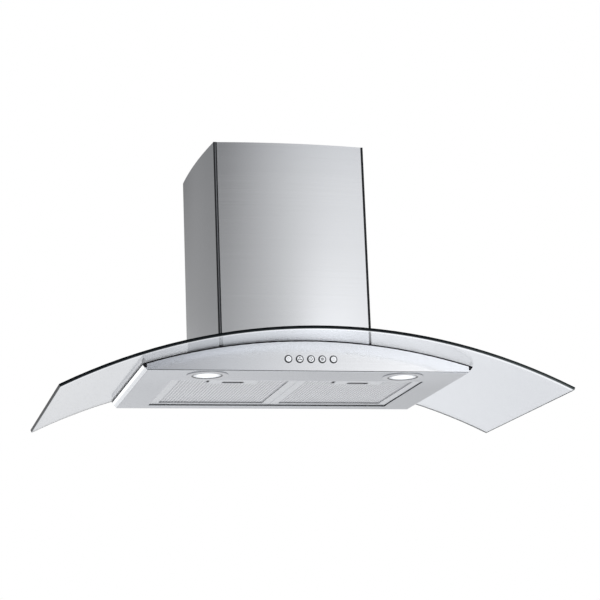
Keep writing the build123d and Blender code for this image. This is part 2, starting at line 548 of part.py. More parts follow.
# ---------------------------------------------------------------- grease filters
for side, sx in SIDES:
    cx = sx * (FILT_X - FILT_GAP + 0.6) / 2
    half = (FILT_X - FILT_GAP - 0.6) / 2
    x0, x1 = cx - half, cx + half
    y0, y1 = FILT_Y0 + FILT_GAP, FILT_Y1 - FILT_GAP
    frame = rounded_slab(x0, x1, y0, y1, FILT_Z0, FILT_Z1, 1.5)
    frame -= box(x0 + 1, x1 - 1, y0 + 1, y1 - 1, FILT_Z0 + 1, FILT_Z1 - 1)
    lower = box(x0 + FILT_RIM, x1 - FILT_RIM, y0 + FILT_RIM, y1 - FILT_RIM, FILT_Z0 - 5, FILT_Z0 + 5)
    plate_y = y0 + FILT_RIM + 27.5
    lower -= box(cx - 44, cx + 44, y0, plate_y, FILT_Z0 - 6, FILT_Z0 + 6)
    frame -= lower
    frame -= box(x0 + 8, x1 - 8, y0 + 8, y1 - 8, FILT_Z1 - 3, FILT_Z1 + 5)
    slot_y0, slot_y1 = y0 + 24.6, y0 + 24.6 + SLOT_D
    frame -= rounded_slab(cx - SLOT_W / 2, cx + SLOT_W / 2, slot_y0, slot_y1, FILT_Z0 - 2, FILT_Z0 + 1.05, 4.0)
    frame -= box(cx - 8.3, cx + 8.3, y0 - 2, y0 + 2, FILT_Z0 + 1.15, FILT_Z0 + 3.1)
    # two tongues that rest on the rear edge of the opening
    for dx in (-70.0, 70.0):
        frame += box(cx + dx - 11, cx + dx + 11, y1 - 1.0, y1 + 7.5, FILT_Z0 + 0.4, FILT_Z0 + 1.9)
        frame += box(cx + dx - 11, cx + dx + 11, y1 + 5.0, y1 + 7.5, FILT_Z0 - 0.9, FILT_Z0 + 1.9)
    node(f"filter_frame_{side}", one(frame))
    mx0, mx1, my0, my1 = x0 + 1.05, x1 - 1.05, y0 + 1.05, y1 - 1.05
    low = box(mx0, mx1, my0, my1, FILT_Z0 + MESH_DEEP, FILT_Z0 + MESH_DEEP + 1.2)
    low -= box(cx - 46, cx + 46, my0 - 1, plate_y + 2, 0, 10)
    high = box(mx0, mx1, my0, my1, FILT_Z1 - 2.2, FILT_Z1 - 1.0)
    node(f"filter_mesh_{side}", group([low, high]))
    lz0, lz1 = FILT_Z0 + 1.25, FILT_Z0 + 2.85
    # slider with a finger pocket, reached through the slot
    latch = box(cx - 8, cx + 8, FILT_Y0 + 0.3, slot_y0 + 2, lz0, lz1)
    latch += box(cx - 30, cx + 30, slot_y0 - 4, slot_y1 + 1.5, lz0, lz1)
    latch += rounded_slab(cx - 20.5, cx + 20.5, slot_y0 - 0.9, slot_y0 + 9.0, lz1 - 0.1, FILT_Z0 + 6.2, 2.0)
    latch += rounded_slab(cx + 12.0, cx + 20.5, slot_y0 - 0.9, slot_y1 + 0.7, lz1 - 0.1, FILT_Z0 + 6.2, 2.0)
    latch -= rounded_slab(cx - 19.3, cx + 19.3, slot_y0 + 0.3, slot_y0 + 7.8, FILT_Z0, FILT_Z0 + 5.2, 1.2)
    latch -= rounded_slab(cx + 13.2, cx + 19.3, slot_y0 + 0.3, slot_y1 - 0.5, FILT_Z0, FILT_Z0 + 5.2, 1.2)
    node(f"filter_latch_{side}", latch)

# ---------------------------------------------------------------- write the parts
os.makedirs("parts", exist_ok=True)
for name, shape in NODES.items():
    export_step(Pos(0, 0, -Z_FIX) * shape, f"parts/{name}.step")
print(len(NODES), "nodes")
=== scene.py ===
import bpy, bmesh, math
from mathutils import Matrix, Vector


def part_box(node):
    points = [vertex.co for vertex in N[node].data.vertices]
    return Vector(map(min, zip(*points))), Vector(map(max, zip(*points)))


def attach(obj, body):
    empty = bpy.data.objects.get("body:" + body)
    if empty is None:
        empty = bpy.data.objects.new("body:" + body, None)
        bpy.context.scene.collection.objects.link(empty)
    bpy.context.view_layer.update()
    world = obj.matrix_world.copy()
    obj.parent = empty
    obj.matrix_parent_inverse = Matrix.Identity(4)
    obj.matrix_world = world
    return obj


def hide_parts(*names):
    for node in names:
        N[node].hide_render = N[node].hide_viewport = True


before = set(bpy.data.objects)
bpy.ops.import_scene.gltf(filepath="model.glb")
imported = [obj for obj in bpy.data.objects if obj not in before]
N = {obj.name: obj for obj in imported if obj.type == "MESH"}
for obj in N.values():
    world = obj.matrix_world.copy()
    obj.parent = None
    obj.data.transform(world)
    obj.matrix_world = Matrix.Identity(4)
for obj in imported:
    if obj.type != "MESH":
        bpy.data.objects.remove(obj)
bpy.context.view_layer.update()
Z_FIX = 0.150          # the row's origin is this far above the flat underside


# ------------------------------------------------------------------ camera at the photograph's viewpoint
def unit(v):
    return Vector(v).normalized()


yaw, pitch, roll = (math.radians(a) for a in (14.089, 12.936, -2.181))
fwd = Vector((math.sin(yaw) * math.cos(pitch), math.cos(yaw) * math.cos(pitch), math.sin(pitch)))
r0 = Vector((math.cos(yaw), -math.sin(yaw), 0))
u0 = r0.cross(fwd)
right = math.cos(roll) * r0 + math.sin(roll) * u0
up = -math.sin(roll) * r0 + math.cos(roll) * u0
cam_data = bpy.data.cameras.new("photo_camera")
cam_data.sensor_fit = "HORIZONTAL"
cam_data.sensor_width = 36.0
cam_data.lens = 36.0 * 1885.908 / 600.0
cam_data.clip_end = 60.0
cam = bpy.data.objects.new("photo_camera", cam_data)
bpy.context.scene.collection.objects.link(cam)
cam.matrix_world = Matrix.Translation((-0.80005, -3.49987, -0.76224)) @ Matrix(
    (right, up, -fwd)).transposed().to_4x4()
bpy.context.scene.camera = cam

sc = bpy.context.scene
sc.view_settings.view_transform = "Standard"
sc.view_settings.look = "None"
sc.cycles.use_denoising = True
sc.cycles.max_bounces = 16
sc.cycles.transmission_bounces = 12
sc.cycles.transparent_max_bounces = 16


# ------------------------------------------------------------------ node helpers
class Mat:
    """A node material with one Principled shader and short calls for procedural inputs."""

    def __init__(self, name, base=(0.8, 0.8, 0.8), metallic=0.0, rough=0.5, **sockets):
        self.m = bpy.data.materials.new(name)
        self.m.use_nodes = True
        self.t = self.m.node_tree
        self.p = self.t.nodes["Principled BSDF"]
        self.p.inputs["Base Color"].default_value = (*base, 1)
        self.p.inputs["Metallic"].default_value = metallic
        self.p.inputs["Roughness"].default_value = rough
        for k, v in sockets.items():
            self.p.inputs[k.replace("_", " ")].default_value = v
        self.coord = self.t.nodes.new("ShaderNodeTexCoord")

    def link(self, a, b):
        self.t.links.new(a, b)

    def noise(self, scale=(1, 1, 1), detail=2.0, rough=0.5, seed=0.0, distortion=0.0):
        mp = self.t.nodes.new("ShaderNodeMapping")
        mp.inputs["Scale"].default_value = scale
        mp.inputs["Location"].default_value = (seed, seed * 1.7, seed * 0.6)
        self.link(self.coord.outputs["Object"], mp.inputs["Vector"])
        n = self.t.nodes.new("ShaderNodeTexNoise")
        n.inputs["Scale"].default_value = 1.0
        n.inputs["Detail"].default_value = detail
        n.inputs["Roughness"].default_value = rough
        n.inputs["Distortion"].default_value = distortion
        self.link(mp.outputs["Vector"], n.inputs["Vector"])
        return n.outputs["Fac"]

    def voronoi(self, scale=(1, 1, 1), feature="F1", out="Color", rnd=1.0):
        mp = self.t.nodes.new("ShaderNodeMapping")
        mp.inputs["Scale"].default_value = scale
        self.link(self.coord.outputs["Object"], mp.inputs["Vector"])
        n = self.t.nodes.new("ShaderNodeTexVoronoi")
        n.feature = feature
        n.inputs["Scale"].default_value = 1.0
        n.inputs["Randomness"].default_value = rnd
        self.link(mp.outputs["Vector"], n.inputs["Vector"])
        return n.outputs[out]

    def ramp(self, fac, stops, interpolation="LINEAR"):
        r = self.t.nodes.new("ShaderNodeValToRGB")
        r.color_ramp.interpolation = interpolation
        e = r.color_ramp.elements
        while len(e) < len(stops):
            e.new(0.5)
        for el, (pos, col) in zip(e, stops):
            el.position = pos
            el.color = (*col, 1) if hasattr(col, "__len__") else (col, col, col, 1)
        self.link(fac, r.inputs["Fac"])
        return r.outputs["Color"]

    def map(self, fac, lo, hi, a=0.0, b=1.0):
        n = self.t.nodes.new("ShaderNodeMapRange")
        n.inputs["From Min"].default_value = a
        n.inputs["From Max"].default_value = b
        n.inputs["To Min"].default_value = lo
        n.inputs["To Max"].default_value = hi
        self.link(fac, n.inputs["Value"])
        return n.outputs["Result"]

    def math(self, op, a, b=None):
        n = self.t.nodes.new("ShaderNodeMath")
        n.operation = op
        for i, v in enumerate((a, b)):
            if v is None:
                continue
            if isinstance(v, (int, float)):
                n.inputs[i].default_value = v
            else:
                self.link(v, n.inputs[i])
        return n.outputs[0]

    def axis(self, i):
        s = self.t.nodes.new("ShaderNodeSeparateXYZ")
        self.link(self.coord.outputs["Object"], s.inputs[0])
        return s.outputs[i]

    def mix(self, fac, a, b, blend="MIX"):
        n = self.t.nodes.new("ShaderNodeMix")
        n.data_type = "RGBA"
        n.blend_type = blend
        if isinstance(fac, (int, float)):
            n.inputs[0].default_value = fac
        else:
            self.link(fac, n.inputs[0])
        for i, v in ((6, a), (7, b)):
            if hasattr(v, "__len__"):
                n.inputs[i].default_value = (*v, 1)
            else:
                self.link(v, n.inputs[i])
        return n.outputs[2]

    def color(self, out):
        self.link(out, self.p.inputs["Base Color"])
        return self

    def rough(self, out):
        self.link(out, self.p.inputs["Roughness"])
        return self

    def bump(self, height, strength=0.1, distance=0.001):
        b = self.t.nodes.new("ShaderNodeBump")
        b.inputs["Strength"].default_value = strength
        b.inputs["Distance"].default_value = distance
        self.link(height, b.inputs["Height"])
        self.link(b.outputs["Normal"], self.p.inputs["Normal"])
        return self


def varied(mat, base, amount, scale, detail=3.0, seed=0.0):
    lo = tuple(c * (1 - amount) for c in base)
    hi = tuple(min(1, c * (1 + amount)) for c in base)
    mat.color(mat.ramp(mat.noise((scale,) * 3, detail, 0.5, seed), [(0.3, lo), (0.7, hi)]))
    return mat


# ------------------------------------------------------------------ materials
ring_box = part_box("lamp_trim_right")
LAMP_X = (ring_box[0].x + ring_box[1].x) / 2
LAMP_Y = (ring_box[0].y + ring_box[1].y) / 2
LAMP_R = (ring_box[1].x - ring_box[0].x) / 2
LENS_R = LAMP_R - 0.012
BTN_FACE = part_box("button_3")
GLASS_AXIS_Z = 0.056 - 1.0167 - Z_FIX
RING_IN = 0.20


def brushed(name, grain, base=(0.72, 0.735, 0.755), rough=0.17, tint=0.012, bump=0.02, seed=0.0):
    """Brushed sheet: long fine scratches along the grain in colour, roughness and relief."""
    m = Mat(name, base, 1.0, rough)
    fine = m.noise(tuple(5.0 if g else 4200.0 for g in grain), 3.0, 0.6, seed)
    wide = m.noise(tuple(2.5 if g else 900.0 for g in grain), 2.0, 0.6, seed + 3)
    both = m.math("ADD", m.math("MULTIPLY", fine, 0.6), m.math("MULTIPLY", wide, 0.4))
    cloud = m.noise((5, 5, 5), 2.0, 0.5, seed + 7)
    lo = tuple(c * (1 - tint) for c in base)
    hi = tuple(min(1, c * (1 + tint)) for c in base)
    col = m.ramp(both, [(0.36, lo), (0.64, hi)])
    col = m.mix(m.map(cloud, 0.0, 0.035), col, tuple(c * 0.86 for c in base))
    m.color(col)
    m.rough(m.map(both, rough - 0.03, rough + 0.03, 0.35, 0.65))
    m.bump(both, bump, 0.0003)
    return m


M = {}
sw = brushed("brushed_stainless_upright", (1, 1, 0), base=(0.710, 0.717, 0.731), tint=0.016)
sw_col = sw.p.inputs["Base Color"].links[0].from_socket
# the chimney sheet is darker towards its bottom and top: painted reflection tone by height, on top of the brushed grain
sw.color(sw.mix(1.0, sw_col, sw.ramp(sw.map(sw.axis(2), 0.0, 1.0, -0.110, 0.297),
                                     [(0.0, (0.945, 0.947, 0.952)), (0.35, (0.985, 0.987, 0.990)), (0.80, (0.975, 0.978, 0.985)),
                                      (1.0, (0.910, 0.917, 0.930))]), "MULTIPLY"))
M["steel_wrap"] = sw
fs = brushed("brushed_stainless_fascia", (1, 0, 0), base=(0.73, 0.75, 0.785), rough=0.16, bump=0.006, seed=4.0)
fs_grain = fs.noise((5.0, 4200.0, 4200.0), 3.0, 0.6, 5.5)
# darker on the left, bright towards the right across the fascia: painted reflection tone by x; the brushed grain is
# mixed in weakly
fs.color(fs.mix(0.04, fs.ramp(fs.map(fs.axis(0), 0.0, 1.0, -0.30, 0.30),
                              [(0.0, (0.435, 0.447, 0.476)), (0.25, (0.592, 0.606, 0.636)),
                               (0.47, (0.690, 0.698, 0.717)), (0.80, (0.700, 0.704, 0.716)), (1.0, (0.640, 0.645, 0.655))]),
                fs.ramp(fs_grain, [(0.35, (0.3, 0.3, 0.3)), (0.65, (1.0, 1.0, 1.0))])))
M["steel_fascia"] = fs
fl_ = brushed("brushed_stainless_flat", (1, 0, 0), rough=0.22, seed=2.0)
fl_grain = fl_.noise((5.0, 3000.0, 3000.0), 3.0, 0.6, 2.5)


def steel_tone(v):
    return (v, v * 1.028, v * 1.068)


# the underside's tone by position, lighter at the left front, darker to the right and towards the rear: painted
# reflection tone; the grain multiplies it
fl_x = fl_.map(fl_.axis(0), 0.0, 1.0, -0.29, 0.29)
fl_front = fl_.ramp(fl_x, [(q_, steel_tone(v_)) for q_, v_ in ((0.0, 0.735), (0.16, 0.70), (0.30, 0.655), (0.58, 0.585),
                                                               (0.71, 0.61), (0.85, 0.665), (1.0, 0.65))])
fl_rear = fl_.ramp(fl_x, [(q_, steel_tone(v_)) for q_, v_ in ((0.0, 0.665), (0.30, 0.655), (0.58, 0.63), (0.85, 0.555),
                                                              (1.0, 0.54))])
fl_tone = fl_.mix(fl_.map(fl_.axis(1), 0.0, 1.0, -0.33, -0.22), fl_front, fl_rear)
fl_tone = fl_.mix(1.0, fl_tone, fl_.ramp(fl_grain, [(0.35, (0.965, 0.965, 0.965)), (0.65, (1.0, 1.0, 1.0))]), "MULTIPLY")
# the sides: painted shade at the bend, a painted highlight above it
fl_side = fl_.ramp(fl_.map(fl_.axis(2), 0.0, 1.0, -0.150, -0.140),
                   [(0.0, (0.56, 0.575, 0.595)), (0.22, (0.47, 0.485, 0.505)), (0.50, (0.50, 0.51, 0.525)),
                    (0.68, (0.88, 0.885, 0.89))])
fl_.color(fl_.mix(fl_.math("GREATER_THAN", fl_.math("ABSOLUTE", fl_.axis(0)), 0.2868), fl_tone, fl_side))
M["steel_flat"] = fl_

# satin lamp ring, with painted shade in the groove round the lens and along its outer rim
rg = Mat("satin_stainless_ring", (0.66, 0.67, 0.69), 1.0, 0.24)
ring_x = rg.math("SUBTRACT", rg.math("ABSOLUTE", rg.axis(0)), LAMP_X)
ring_y = rg.math("SUBTRACT", rg.axis(1), LAMP_Y)
ring_r = rg.math("SQRT", rg.math("ADD", rg.math("MULTIPLY", ring_x, ring_x), rg.math("MULTIPLY", ring_y, ring_y)))
rg.color(rg.ramp(rg.map(ring_r, 0.0, 1.0, LAMP_R - 0.012, LAMP_R),
                 [(0.0, (0.10, 0.105, 0.11)), (RING_IN, (0.10, 0.105, 0.11)), (RING_IN + 0.04, (0.70, 0.71, 0.73)),
                  (0.93, (0.70, 0.71, 0.73)), (0.98, (0.42, 0.43, 0.45))]))
rg.rough(rg.map(rg.noise((900, 900, 900), 3.0), 0.18, 0.3))
M["steel_ring"] = rg

# clear tempered sheet, and its ground edge
g = Mat("canopy_glass_clear", (0.945, 0.966, 1.0), 0.0, 0.0, Transmission_Weight=1.0, IOR=1.3)
g.rough(g.map(g.noise((30, 30, 30), 3.0), 0.0, 0.003, 0.55, 0.8))
# painted highlight: the glass emits a bright line and a glow behind its front edge, fading towards the body
g_y = g.map(g.axis(1), 0.0, 1.0, -0.469, -0.374)
g.p.inputs["Emission Strength"].default_value = 1.0
g_highlight_line = g.ramp(g_y, [(0.0, (0.20, 0.205, 0.205)), (0.06, (0.18, 0.185, 0.185)), (0.10, (0.0, 0.0, 0.0))])
g_glow = g.ramp(g_y, [(0.0, (0.125, 0.130, 0.135)), (0.45, (0.085, 0.090, 0.095)), (0.72, (0.030, 0.032, 0.034)),
                      (0.93, (0.0, 0.0, 0.0))])
g_mid = g.ramp(g.map(g.axis(0), 0.0, 1.0, -0.35, 0.35), [(0.0, 0.0), (0.13, 0.25), (0.22, 0.75), (0.36, 1.0), (0.50, 0.85), (0.64, 0.50),
                                                         (0.86, 0.12), (1.0, 0.05)])
g.link(g.mix(1.0, g_highlight_line, g.mix(g_mid, (0.0, 0.0, 0.0), g_glow), "ADD"), g.p.inputs["Emission Color"])
M["glass"] = g
e = Mat("canopy_glass_edge", (0.004, 0.008, 0.009), 0.0, 0.12, IOR=1.5, Specular_IOR_Level=0.03)
edge_h = e.math("SUBTRACT", e.axis(2), GLASS_AXIS_Z)
edge_r = e.math("SQRT", e.math("ADD", e.math("MULTIPLY", e.axis(0), e.axis(0)), e.math("MULTIPLY", edge_h, edge_h)))
edge_t = e.map(edge_r, 0.0, 1.0, 1.0167, 1.0227)
# near black along the top, greyer below; lighter on the right, which is painted light, and a painted highlight on the
# arris at the bottom
left_tone = e.ramp(edge_t, [(0.07, (0.80, 0.82, 0.83)), (0.11, (0.035, 0.04, 0.044)), (0.42, (0.018, 0.022, 0.025)),
                            (0.62, (0.003, 0.005, 0.006))])
right_tone = e.ramp(edge_t, [(0.07, (0.80, 0.82, 0.83)), (0.11, (0.13, 0.145, 0.145)), (0.45, (0.10, 0.115, 0.115)),
                             (0.68, (0.012, 0.018, 0.019))])
e.color(e.mix(e.map(e.axis(0), 0.0, 1.0, 0.18, 0.42), left_tone, right_tone))
e.rough(e.map(e.noise((60, 600, 600), 3.0), 0.06, 0.2))
e.bump(e.noise((40, 900, 900), 3.0, 0.6, 4), 0.08, 0.0004)
M["glass_edge"] = e

r = Mat("black_rubber", (0.007, 0.007, 0.009), 0.0, 0.6, Specular_IOR_Level=0.2)
varied(r, (0.007, 0.007, 0.009), 0.25, 90)
r.bump(r.noise((1500, 1500, 1500), 3.0), 0.25, 0.0002)
M["rubber"] = r

z = Mat("galvanised_steel", (0.55, 0.57, 0.58), 1.0, 0.42)
sp = z.voronoi((95, 95, 95))
bw = z.t.nodes.new("ShaderNodeRGBToBW")
z.link(sp, bw.inputs[0])
z.color(z.ramp(bw.outputs[0], [(0.2, (0.47, 0.49, 0.50)), (0.8, (0.64, 0.66, 0.67))]))
z.rough(z.map(bw.outputs[0], 0.32, 0.52))
z.bump(z.noise((700, 700, 700), 3.0), 0.06, 0.0003)
M["galvanised"] = z

s = Mat("zinc_screws", (0.62, 0.62, 0.60), 1.0, 0.3)
varied(s, (0.62, 0.62, 0.60), 0.08, 400)
s.rough(s.map(s.noise((1800, 1800, 1800), 3.0), 0.22, 0.42))
M["zinc"] = s

c = Mat("dark_chrome", (0.040, 0.041, 0.046), 1.0, 0.12)
varied(c, (0.040, 0.041, 0.046), 0.04, 250)
c.rough(c.map(c.noise((900, 900, 900), 3.0), 0.08, 0.18))
M["chrome"] = c

b = Mat("button_cap", (0.86, 0.87, 0.88), 0.0, 0.32, Coat_Weight=0.25, Coat_Roughness=0.15)
varied(b, (0.86, 0.87, 0.88), 0.02, 300)
# a dark ring round the cap's rim, its centre set 0.2 mm to the right so it is thicker on the left: painted shade
btn_x = b.math("SUBTRACT", b.math("FRACT", b.math("ADD", b.math("MULTIPLY", b.axis(0), 1 / 0.02025), 10.5)), 0.5)
btn_x = b.math("SUBTRACT", b.math("MULTIPLY", btn_x, 0.02025), 0.0002)
btn_z = b.math("SUBTRACT", b.axis(2), (BTN_FACE[0].z + BTN_FACE[1].z) / 2)
btn_r = b.math("SQRT", b.math("ADD", b.math("MULTIPLY", btn_x, btn_x), b.math("MULTIPLY", btn_z, btn_z)))
btn_t = b.map(btn_r, 0.0, 1.0, 0.0047, 0.0051)
b.color(b.mix(btn_t, b.ramp(b.noise((300, 300, 300), 3.0), [(0.3, (0.845, 0.855, 0.865)), (0.7, (0.875, 0.885, 0.895))]),
              (0.06, 0.062, 0.068)))
# the cap glows white in the middle, fading to none at the rim: painted light
b.p.inputs["Emission Strength"].default_value = 0.30
b.link(b.ramp(btn_t, [(0.0, (0.97, 0.985, 1.0)), (1.0, (0.0, 0.0, 0.0))]), b.p.inputs["Emission Color"])
b.bump(b.noise((2600, 2600, 2600), 2.0), 0.05, 0.0001)
M["cap"] = b
ink = Mat("symbol_ink", (0.03, 0.032, 0.036), 0.0, 0.45)
varied(ink, (0.03, 0.032, 0.036), 0.15, 900)
M["ink"] = ink
ink2 = Mat("symbol_ink_grey", (0.17, 0.175, 0.19), 0.0, 0.45)
varied(ink2, (0.17, 0.175, 0.19), 0.12, 900)
M["ink_grey"] = ink2

a = Mat("aluminium_mesh", (0.97, 0.98, 0.99), 1.0, 0.28)
varied(a, (0.97, 0.98, 0.99), 0.03, 350)
a.rough(a.map(a.noise((900, 900, 900), 3.0), 0.24, 0.36))
M["alu_mesh"] = a
pad = Mat("aluminium_mesh_pad", (0.74, 0.75, 0.76), 1.0, 0.45)
pad.color(pad.ramp(pad.voronoi((700, 260, 700), "F1", "Distance"),
                   [(0.1, (0.80, 0.81, 0.83)), (0.75, (0.66, 0.67, 0.69))]))
pad.bump(pad.voronoi((500, 190, 500), "F1", "Distance"), 0.1, 0.0003)
M["alu_pad"] = pad
af = brushed("aluminium_frame", (1, 0, 0), base=(0.84, 0.855, 0.87), rough=0.28, seed=9.0)
# the frame's rear tongue, behind the gap to the pan, is coloured near black: painted shade in the gap
rear_tongue_shade = af.math("GREATER_THAN", af.axis(1), -0.0290)
af_grain = af.noise((5.0, 3000.0, 3000.0), 3.0, 0.6, 9.5)
af.color(af.mix(rear_tongue_shade, af.ramp(af_grain, [(0.35, (0.825, 0.84, 0.855)), (0.65, (0.855, 0.87, 0.885))]),
                (0.12, 0.123, 0.13)))
# the frame's inner channel glows faintly and is non-metallic there: painted light lifting its shade
channel_glow_mask = af.math("MULTIPLY", af.math("GREATER_THAN", af.axis(2), -0.1473), af.math("LESS_THAN", af.axis(2), -0.1380))
af.p.inputs["Emission Strength"].default_value = 0.07
af.link(channel_glow_mask, af.p.inputs["Emission Color"])
af.link(af.math("SUBTRACT", 1.0, channel_glow_mask), af.p.inputs["Metallic"])
M["alu_frame"] = af

l = Mat("lamp_lens", (0.78, 0.80, 0.82), 0.0, 0.35, IOR=1.49)
varied(l, (0.78, 0.80, 0.82), 0.02, 120)
lens_x = l.math("SUBTRACT", l.math("ABSOLUTE", l.axis(0)), LAMP_X)
lens_y = l.math("SUBTRACT", l.axis(1), LAMP_Y)
lens_r = l.math("SQRT", l.math("ADD", l.math("MULTIPLY", lens_x, lens_x), l.math("MULTIPLY", lens_y, lens_y)))
l.p.inputs["Emission Strength"].default_value = 1.0
l.link(l.ramp(l.map(lens_r, 0.0, 1.0, 0.0, LENS_R),
              [(0.0, (0.66, 0.675, 0.69)), (0.60, (0.60, 0.615, 0.63)), (0.86, (0.20, 0.205, 0.215)),
               (1.0, (0.02, 0.02, 0.02))]),
       l.p.inputs["Emission Color"])
l.bump(l.noise((1400, 1400, 1400), 2.0), 0.12, 0.0002)
M["lens"] = l
lb = Mat("lamp_body", (0.55, 0.56, 0.57), 1.0, 0.4)
varied(lb, (0.55, 0.56, 0.57), 0.06, 160)
lb.bump(lb.noise((900, 900, 900), 3.0), 0.1, 0.0003)
M["lamp_body"] = lb

bp = Mat("black_plastic", (0.028, 0.028, 0.03), 0.0, 0.42)
varied(bp, (0.028, 0.028, 0.03), 0.2, 60)
bp.bump(bp.voronoi((1800, 1800, 1800), "F1", "Distance"), 0.12, 0.0002)
M["black_plastic"] = bp
# near black plastic; its darkness also paints the shade in the latch slots
lt = Mat("latch_plastic", (0.022, 0.023, 0.029), 0.0, 0.45, Specular_IOR_Level=0.12)
varied(lt, (0.022, 0.023, 0.029), 0.12, 80)
lt.bump(lt.voronoi((1700, 1700, 1700), "F1", "Distance"), 0.1, 0.0002)
M["latch"] = lt
gp = Mat("grey_plastic", (0.30, 0.31, 0.32), 0.0, 0.45)
varied(gp, (0.30, 0.31, 0.32), 0.06, 60)
gp.bump(gp.voronoi((1600, 1600, 1600), "F1", "Distance"), 0.1, 0.0002)
M["grey_plastic"] = gp

# dark corner strip, its near black standing in for the shadow gaps at the corner: painted shade; its proud rib coloured
# a flat mid grey
dt = Mat("dark_trim", (0.012, 0.013, 0.015), 0.0, 0.4, Specular_IOR_Level=0.2)
rib = dt.math("LESS_THAN", dt.axis(1), -0.27070)
dt.color(dt.mix(rib, dt.ramp(dt.noise((60, 60, 12), 3.0), [(0.3, (0.010, 0.011, 0.013)), (0.7, (0.018, 0.019, 0.022))]),
                (0.17, 0.175, 0.185)))
dt.rough(dt.map(dt.noise((500, 500, 40), 3.0), 0.3, 0.5))
M["dark_trim"] = dt

cb = Mat("circuit_board", (0.02, 0.12, 0.06), 0.0, 0.35, Coat_Weight=0.4, Coat_Roughness=0.2)
tr = cb.math("LESS_THAN", cb.voronoi((420, 420, 420), "DISTANCE_TO_EDGE", "Distance"), 0.09)
cb.color(cb.mix(tr, (0.015, 0.10, 0.05), (0.05, 0.22, 0.10)))
M["pcb"] = cb
ms = Mat("motor_shell", (0.42, 0.43, 0.44), 1.0, 0.38)
varied(ms, (0.42, 0.43, 0.44), 0.06, 40)
ms.bump(ms.noise((800, 800, 800), 3.0), 0.12, 0.0003)
M["motor"] = ms
mc = Mat("machined_steel", (0.60, 0.60, 0.61), 1.0, 0.2)
varied(mc, (0.60, 0.60, 0.61), 0.05, 200)
mc.rough(mc.map(mc.noise((1500, 90, 90), 3.0), 0.14, 0.3))
M["machined"] = mc

ASSIGN = {
    "steel_wrap": ["chimney_front", "chimney_side_left", "chimney_side_right", "upper_chimney"],
    "steel_fascia": ["front_fascia"],
    "latch": ["filter_latch_left", "filter_latch_right"],
    "steel_flat": ["underside_panel"],
    "steel_ring": ["lamp_trim_left", "lamp_trim_right"],
    "rubber": ["glass_seal_outer", "glass_seal_inner", "glass_bushings"],
    "galvanised": ["blower_case", "chimney_brackets", "motor_bracket", "partition_panel", "plenum_top",
                   "rear_panel", "upper_bracket"],
    "zinc": ["case_screws", "chimney_screws"],
    "chrome": ["button_bezels"],
    "cap": [f"button_{i}" for i in range(1, 6)],
    "alu_mesh": ["filter_mesh_left", "filter_mesh_right"],
    "alu_frame": ["filter_frame_left", "filter_frame_right", "damper_flap_left", "damper_flap_right"],
    "lens": ["lamp_lens_left", "lamp_lens_right"],
    "lamp_body": ["lamp_can_left", "lamp_can_right"],
    "black_plastic": ["cable_gland", "impeller", "inlet_ring_left", "inlet_ring_right", "lamp_driver",
                      "outlet_collar", "switch_block", "terminal_box", "terminal_box_lid"],
    "grey_plastic": ["capacitor", "scroll_housing"],
    "dark_trim": ["chimney_trim_left", "chimney_trim_right"],
    "pcb": ["control_board", "led_boards"],
    "motor": ["motor"],
    "machined": ["damper_pin", "motor_bearings", "motor_shaft"],
    "glass": ["glass_canopy"],
}
done = set()
for key, names in ASSIGN.items():
    for n in names:
        for slot_ in N[n].material_slots:
            slot_.material = M[key].m
        done.add(n)
left = sorted(set(N) - done)
if left:
    raise SystemExit(f"nodes without a finish: {left}")


def new_mesh(name, verts, faces, mats, smooth=False):
    me = bpy.data.meshes.new(name)
    me.from_pydata(verts, [], faces)
    me.validate()
    me.update()
    for m in mats:
        me.materials.append(m.m)
    if smooth:
        me.polygons.foreach_set("use_smooth", [True] * len(me.polygons))
    o = bpy.data.objects.new(name, me)
    bpy.context.scene.collection.objects.link(o)
    return o


# ------------------------------------------------------------------ the glass, with its ground edge as a second finish
me = N["glass_canopy"].data.copy()
me.name = "canopy_sheet"
me.materials.clear()
me.materials.append(M["glass"].m)
me.materials.append(M["glass_edge"].m)
GC = Vector((0, 0, 0.056 - 1.0167 - Z_FIX))
for p in me.polygons:
    rad = Vector((p.center.x, 0, p.center.z - GC.z)).normalized()
    p.material_index = 0 if abs(rad.dot(p.normal)) > 0.97 else 1
sheet = bpy.data.objects.new("canopy_sheet", me)
bpy.context.scene.collection.objects.link(sheet)
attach(sheet, "hood")
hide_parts("glass_canopy")


# ------------------------------------------------------------------ filter packs: expanded aluminium in two faces
def ribbon(verts, faces, path, w, z0, z1):
    """Closed strand of rectangular section along a list of (x, y) points."""
    base = len(verts)
    for i, (x, y) in enumerate(path):
        a_ = path[max(i - 1, 0)]
        b_ = path[min(i + 1, len(path) - 1)]
        d = Vector((b_[0] - a_[0], b_[1] - a_[1])).normalized()
        nx, ny = -d.y * w / 2, d.x * w / 2
        verts += [(x + nx, y + ny, z0), (x - nx, y - ny, z0), (x - nx, y - ny, z1), (x + nx, y + ny, z1)]
    n = len(path)
    for i in range(n - 1):
        k = base + 4 * i
        for j in range(4):
            faces.append((k + j, k + 4 + j, k + 4 + (j + 1) % 4, k + (j + 1) % 4))
    faces.append((base + 3, base + 2, base + 1, base))
    k = base + 4 * (n - 1)
    faces.append((k, k + 1, k + 2, k + 3))


PITCH, LONG = 0.0059, 0.0118


